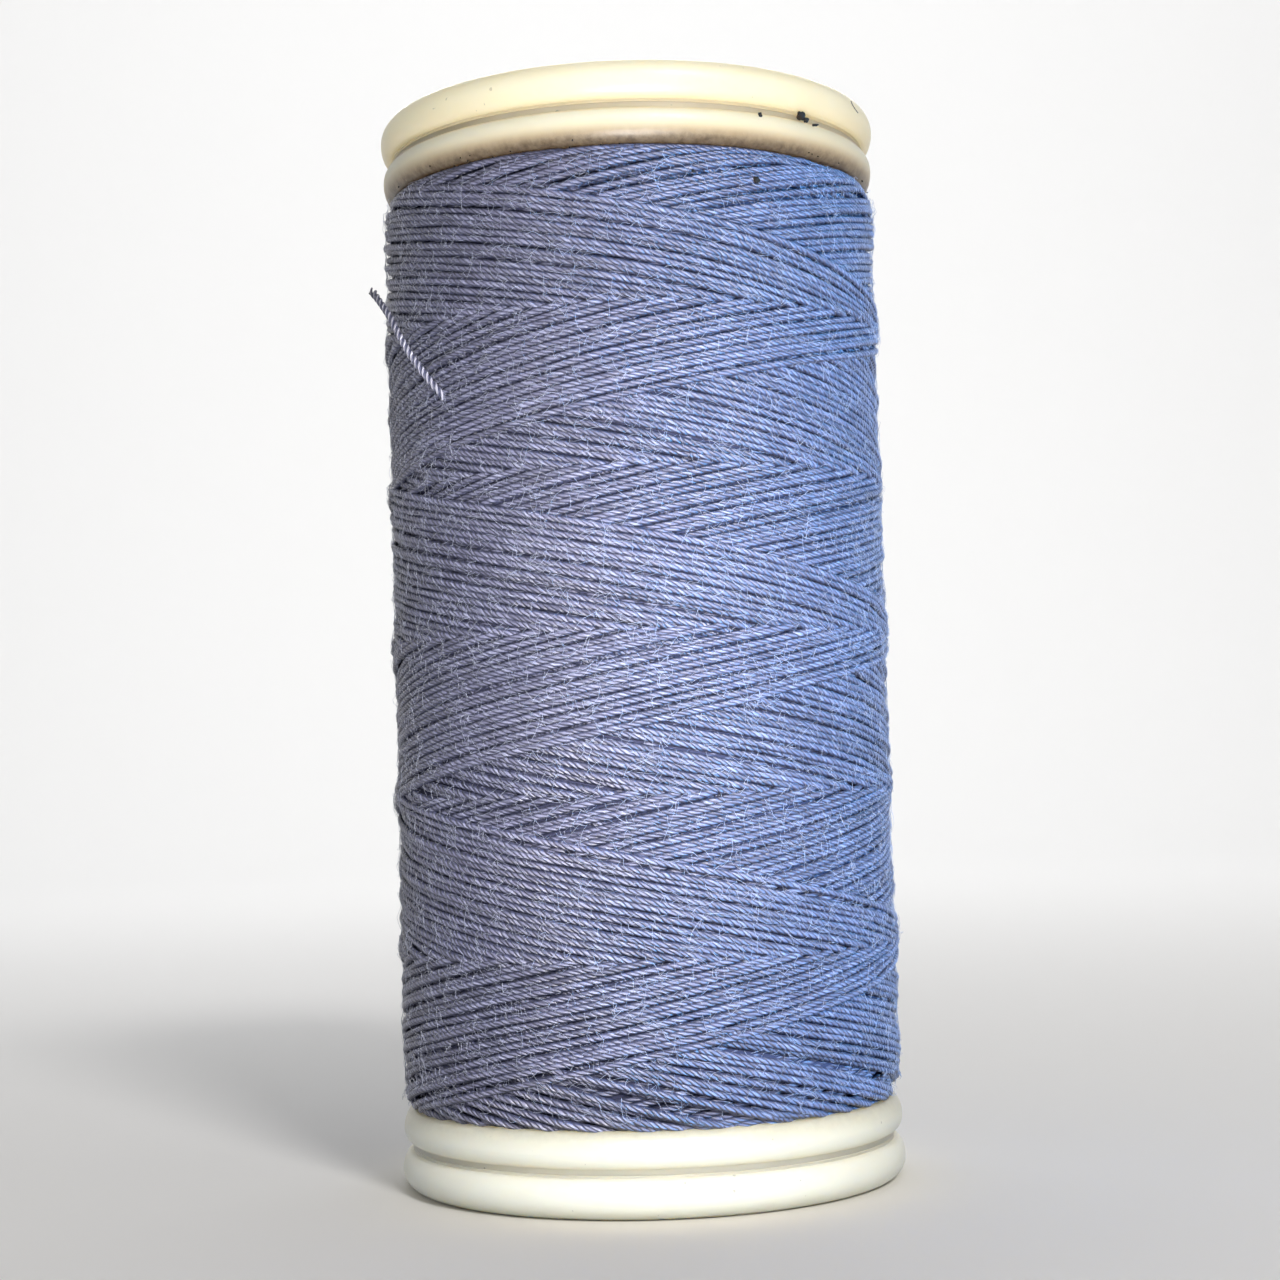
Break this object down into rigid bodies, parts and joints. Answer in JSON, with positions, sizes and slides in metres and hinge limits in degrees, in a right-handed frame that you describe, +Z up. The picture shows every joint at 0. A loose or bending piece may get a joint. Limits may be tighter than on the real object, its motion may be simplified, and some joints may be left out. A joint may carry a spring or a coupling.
{
  "type": "spool of sewing thread",
  "caption": "Full spool of blue sewing thread on a cream plastic spool, with snap caps that slide out a little to lock the thread's end in a slit.",
  "frame": {"origin": "centre of the flat face that the spool stands on, which is the outer face of the bottom cap", "axes": "+Z up along the spool's axis, from the bottom cap to the top cap; the picture looks along +Y, with +X to the right"},
  "size_m": [0.0263, 0.0254, 0.054],
  "materials": {
    "ivory_plastic": "moulded cream plastic, glossy, slightly yellowed, with small specks of dirt in its grooves",
    "blue_thread": "twisted slate blue cotton thread, soft sheen, fine fuzz"
  },
  "bodies": {
    "spool": {"spool_body": "ivory_plastic", "thread_package": "blue_thread", "thread_winding": "blue_thread", "thread_tail": "blue_thread"},
    "bottom_cap": {"bottom_cap": "ivory_plastic"},
    "top_cap": {"top_cap": "ivory_plastic"}
  },
  "joints": [
    {"name": "bottom_cap_slide", "type": "slide", "parent": "spool", "child": "bottom_cap", "axis": [0, 0, -1], "range_m": [0, 0.0018]},
    {"name": "top_cap_slide", "type": "slide", "parent": "spool", "child": "top_cap", "axis": [0, 0, 1], "range_m": [0, 0.0018]}
  ]
}
